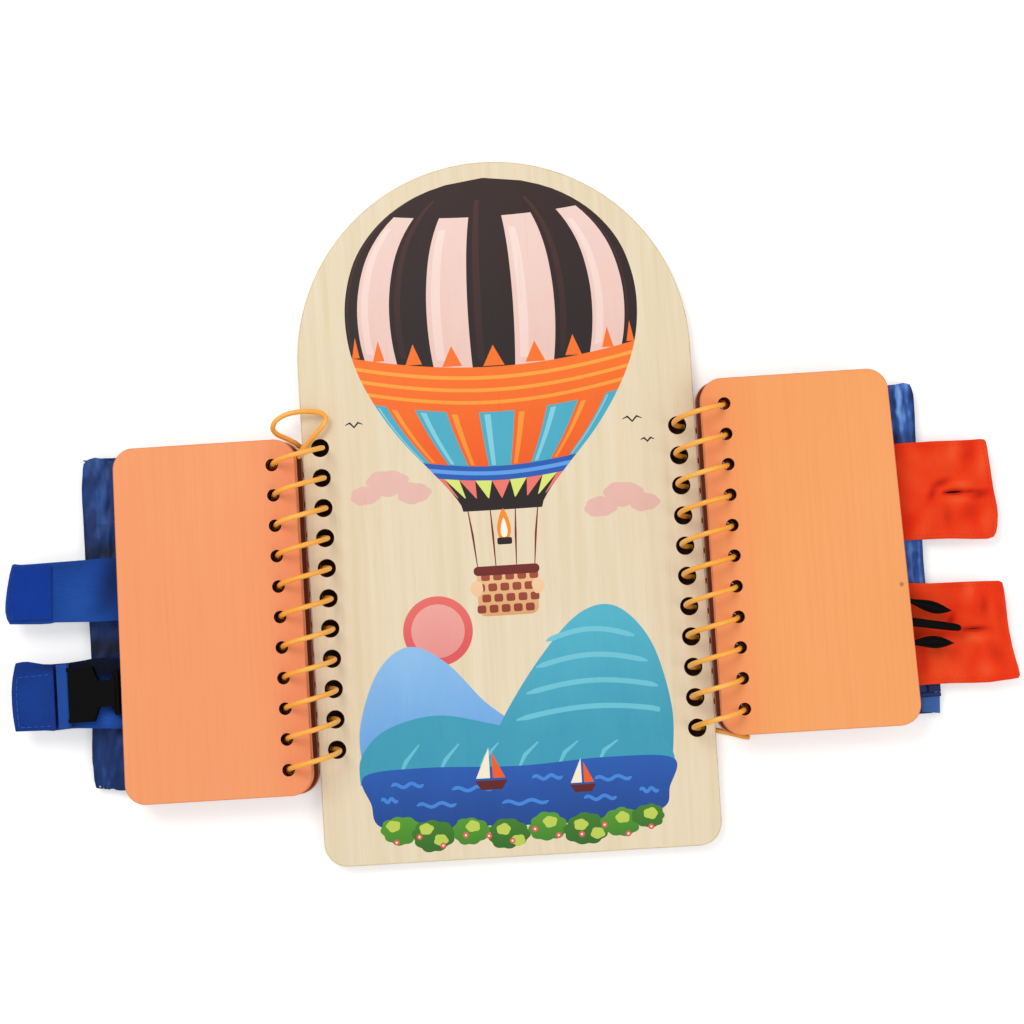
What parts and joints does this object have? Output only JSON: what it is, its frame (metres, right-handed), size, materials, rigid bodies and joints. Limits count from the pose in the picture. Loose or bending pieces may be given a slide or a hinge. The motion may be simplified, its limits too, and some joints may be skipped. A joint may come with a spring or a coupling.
{
  "type": "busy board",
  "caption": "Arched wooden activity board with a coil-bound stack of dressed wooden pages on each side, carrying straps, a side-release buckle, buttonhole flaps and a zip.",
  "frame": {"origin": "centre of the main board's flat back face", "axes": "+X to the right as the printed front is seen, +Y towards the arched end, +Z out of the printed front"},
  "size_m": [0.4284, 0.3, 0.0285],
  "materials": {
    "birch": "satin, pale birch with a printed front",
    "page": "matt orange stain",
    "coil": "glossy",
    "jacket_cloth": "woven",
    "shirt_cloth": "woven, soft",
    "vest_cloth": "satin, padded",
    "webbing": "ribbed webbing",
    "hook_tape": "hook tape",
    "loop_tape": "napped loop tape",
    "buckle": "moulded",
    "button": "glossy",
    "zip_tape": "woven tape",
    "zip_teeth": "moulded",
    "zip_metal": "plated"
  },
  "bodies": {
    "board": {"main_board": "birch", "left_coil": "coil", "right_coil": "coil"},
    "left_leaf_3": {"left_page_3": "page", "left_vest_panel": "vest_cloth", "left_zip_tape": "zip_tape", "left_zip_teeth": "zip_teeth"},
    "left_leaf_2": {"left_page_2": "page", "left_shirt_panel": "shirt_cloth", "upper_button": "button", "lower_button": "button"},
    "left_leaf_1": {"left_page_1": "page", "left_jacket_panel": "jacket_cloth"},
    "hook_strap": {"hook_strap": "webbing", "hook_patch": "hook_tape"},
    "buckle_strap": {"buckle_strap": "webbing"},
    "buckle_socket": {"buckle_socket": "buckle"},
    "right_leaf_3": {"right_page_3": "page", "right_vest_panel": "vest_cloth", "right_zip_tape": "zip_tape", "right_zip_teeth": "zip_teeth"},
    "right_leaf_2": {"right_page_2": "page", "right_shirt_panel": "shirt_cloth"},
    "right_leaf_1": {"right_page_1": "page", "right_jacket_panel": "jacket_cloth", "loop_pad": "loop_tape", "plug_strap": "webbing", "buckle_plug": "buckle"},
    "upper_flap": {"upper_flap": "shirt_cloth"},
    "lower_flap": {"lower_flap": "shirt_cloth"},
    "zip_slider": {"zip_slider": "zip_metal"},
    "zip_pull": {"zip_pull": "zip_metal"}
  },
  "joints": [
    {"name": "left_page_3_turn", "type": "hinge", "parent": "board", "child": "left_leaf_3", "pos_m": [-0.0872, 0, 0.0106], "axis": [0, 1, 0], "range_deg": [0, 180], "deforming": ["left_coil"]},
    {"name": "left_page_2_turn", "type": "hinge", "parent": "left_leaf_3", "child": "left_leaf_2", "pos_m": [-0.0872, 0, 0.0106], "axis": [0, 1, 0], "range_deg": [0, 180], "deforming": ["left_coil"]},
    {"name": "left_page_1_turn", "type": "hinge", "parent": "left_leaf_2", "child": "left_leaf_1", "pos_m": [-0.0872, 0, 0.0106], "axis": [0, 1, 0], "range_deg": [0, 180], "deforming": ["left_coil"]},
    {"name": "hook_strap_lift", "type": "hinge", "parent": "left_leaf_1", "child": "hook_strap", "pos_m": [-0.1692, 0, 0.0106], "axis": [0, -1, 0], "range_deg": [-90, 0]},
    {"name": "buckle_strap_lift", "type": "hinge", "parent": "left_leaf_1", "child": "buckle_strap", "pos_m": [-0.1692, 0, 0.0106], "axis": [0, -1, 0], "range_deg": [-8, 0]},
    {"name": "buckle_socket_swivel", "type": "hinge", "parent": "buckle_strap", "child": "buckle_socket", "pos_m": [-0.19175, -0.0698, 0.01365], "axis": [0, 1, 0], "range_deg": [-120, 0]},
    {"name": "right_page_3_turn", "type": "hinge", "parent": "board", "child": "right_leaf_3", "pos_m": [0.0872, 0, 0.0106], "axis": [0, 1, 0], "range_deg": [-180, 0], "deforming": ["right_coil"]},
    {"name": "right_page_2_turn", "type": "hinge", "parent": "right_leaf_3", "child": "right_leaf_2", "pos_m": [0.0872, 0, 0.0106], "axis": [0, 1, 0], "range_deg": [-180, 0], "deforming": ["right_coil"]},
    {"name": "right_page_1_turn", "type": "hinge", "parent": "right_leaf_2", "child": "right_leaf_1", "pos_m": [0.0872, 0, 0.0106], "axis": [0, 1, 0], "range_deg": [-180, 0], "deforming": ["right_coil"]},
    {"name": "upper_flap_lift", "type": "hinge", "parent": "right_leaf_2", "child": "upper_flap", "pos_m": [0.1692, 0, 0.0043], "axis": [0, 1, 0], "range_deg": [-90, 0]},
    {"name": "lower_flap_lift", "type": "hinge", "parent": "right_leaf_2", "child": "lower_flap", "pos_m": [0.1692, 0, 0.0043], "axis": [0, 1, 0], "range_deg": [-12, 0]},
    {"name": "zip_slide", "type": "slide", "parent": "right_leaf_3", "child": "zip_slider", "axis": [0, 1, 0], "range_m": [0, 0.12]},
    {"name": "zip_pull_swing", "type": "hinge", "parent": "zip_slider", "child": "zip_pull", "pos_m": [0.1797, -0.0924, -0.0013], "axis": [1, 0, 0], "range_deg": [0, 90]}
  ]
}
